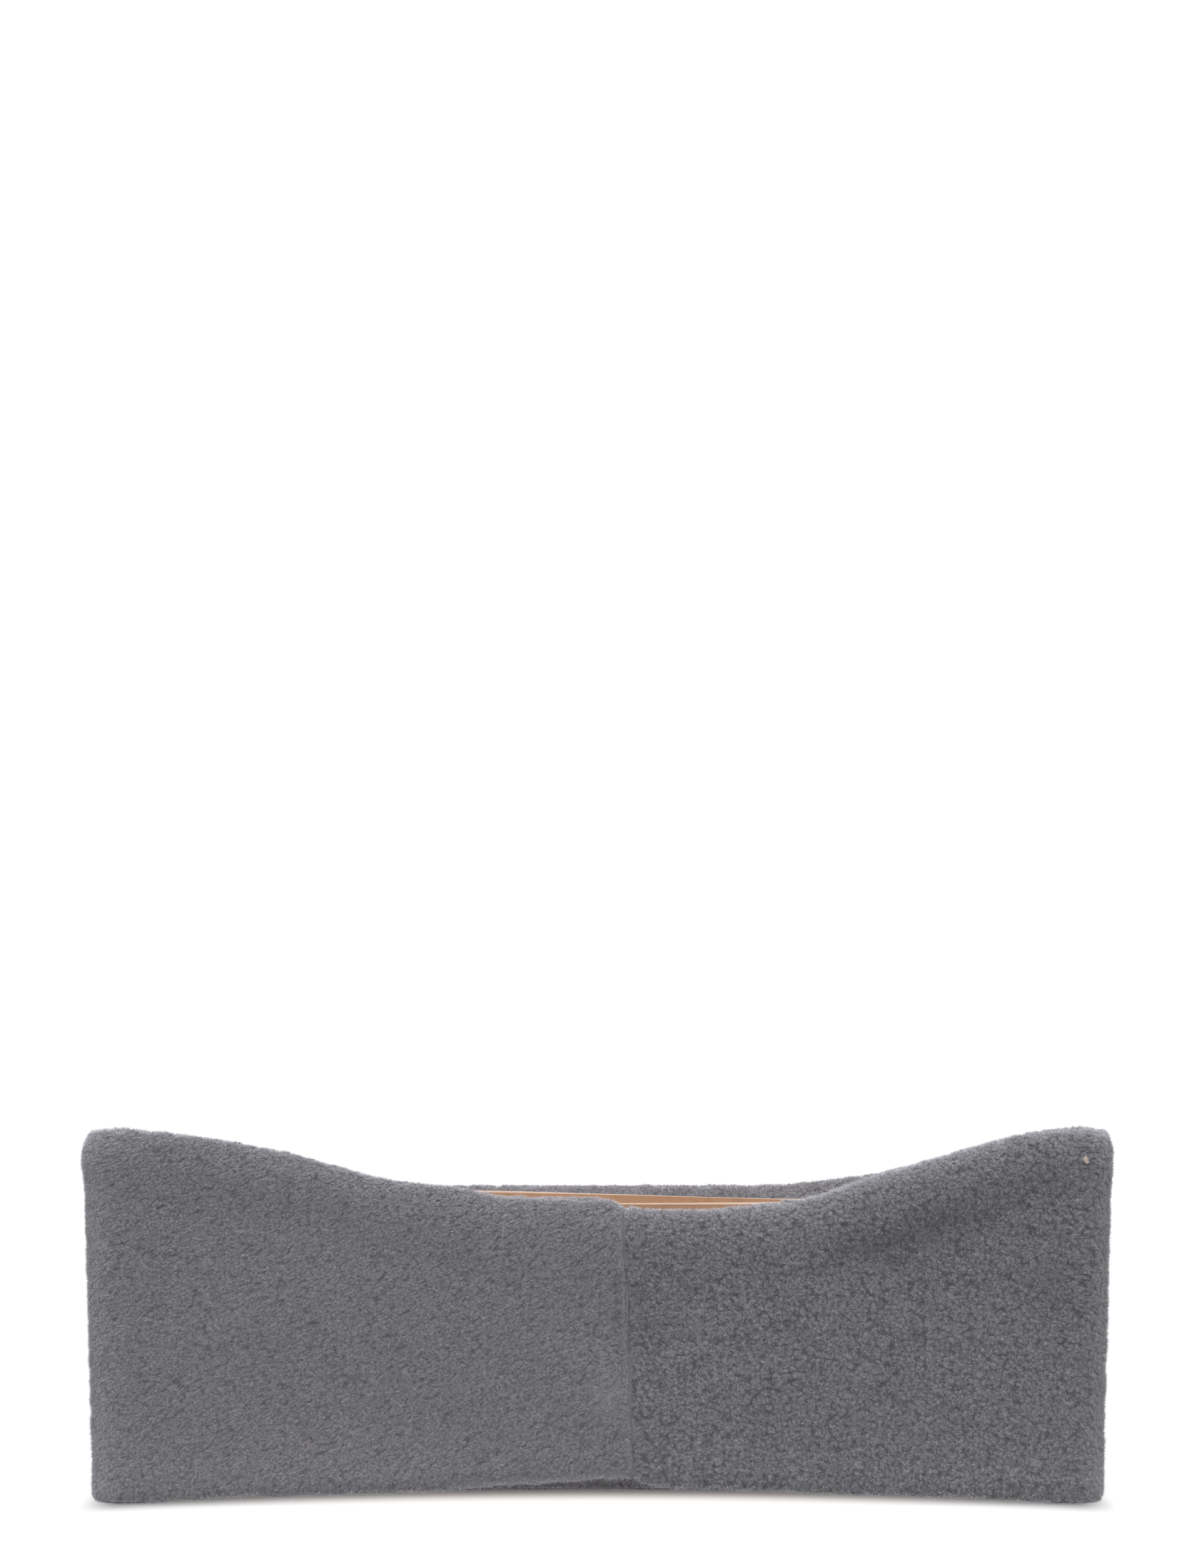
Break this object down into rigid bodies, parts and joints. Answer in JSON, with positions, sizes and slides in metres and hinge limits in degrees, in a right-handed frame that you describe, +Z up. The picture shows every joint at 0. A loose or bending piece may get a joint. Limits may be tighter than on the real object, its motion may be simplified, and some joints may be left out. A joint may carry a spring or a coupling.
{
  "type": "fleece headband on a card sleeve",
  "caption": "Double-layer fleece ear-warmer headband, contoured taller over the ears, with a nape seam and a plump top rim, standing on its lower edge round the plain kraft card sleeve that holds it open.",
  "frame": {"origin": "on the surface it stands on, under the middle of the band", "axes": "+Z up, +X towards the wearer's ear fold right of the nape seam as the nape is seen from outside, +Y from the nape side to the forehead side"},
  "size_m": [0.2464, 0.0494, 0.0895],
  "materials": {
    "outer_fleece": "mid grey brushed polyester fleece with a short nap, smooth and lighter on one side of the seam, darker and pebbled on the other",
    "inner_fleece": "the same grey fleece, as the lining",
    "kraft_card": null
  },
  "bodies": {
    "root": {"outer_layer": "outer_fleece", "inner_layer": "inner_fleece", "insert_card": "kraft_card"}
  },
  "joints": []
}
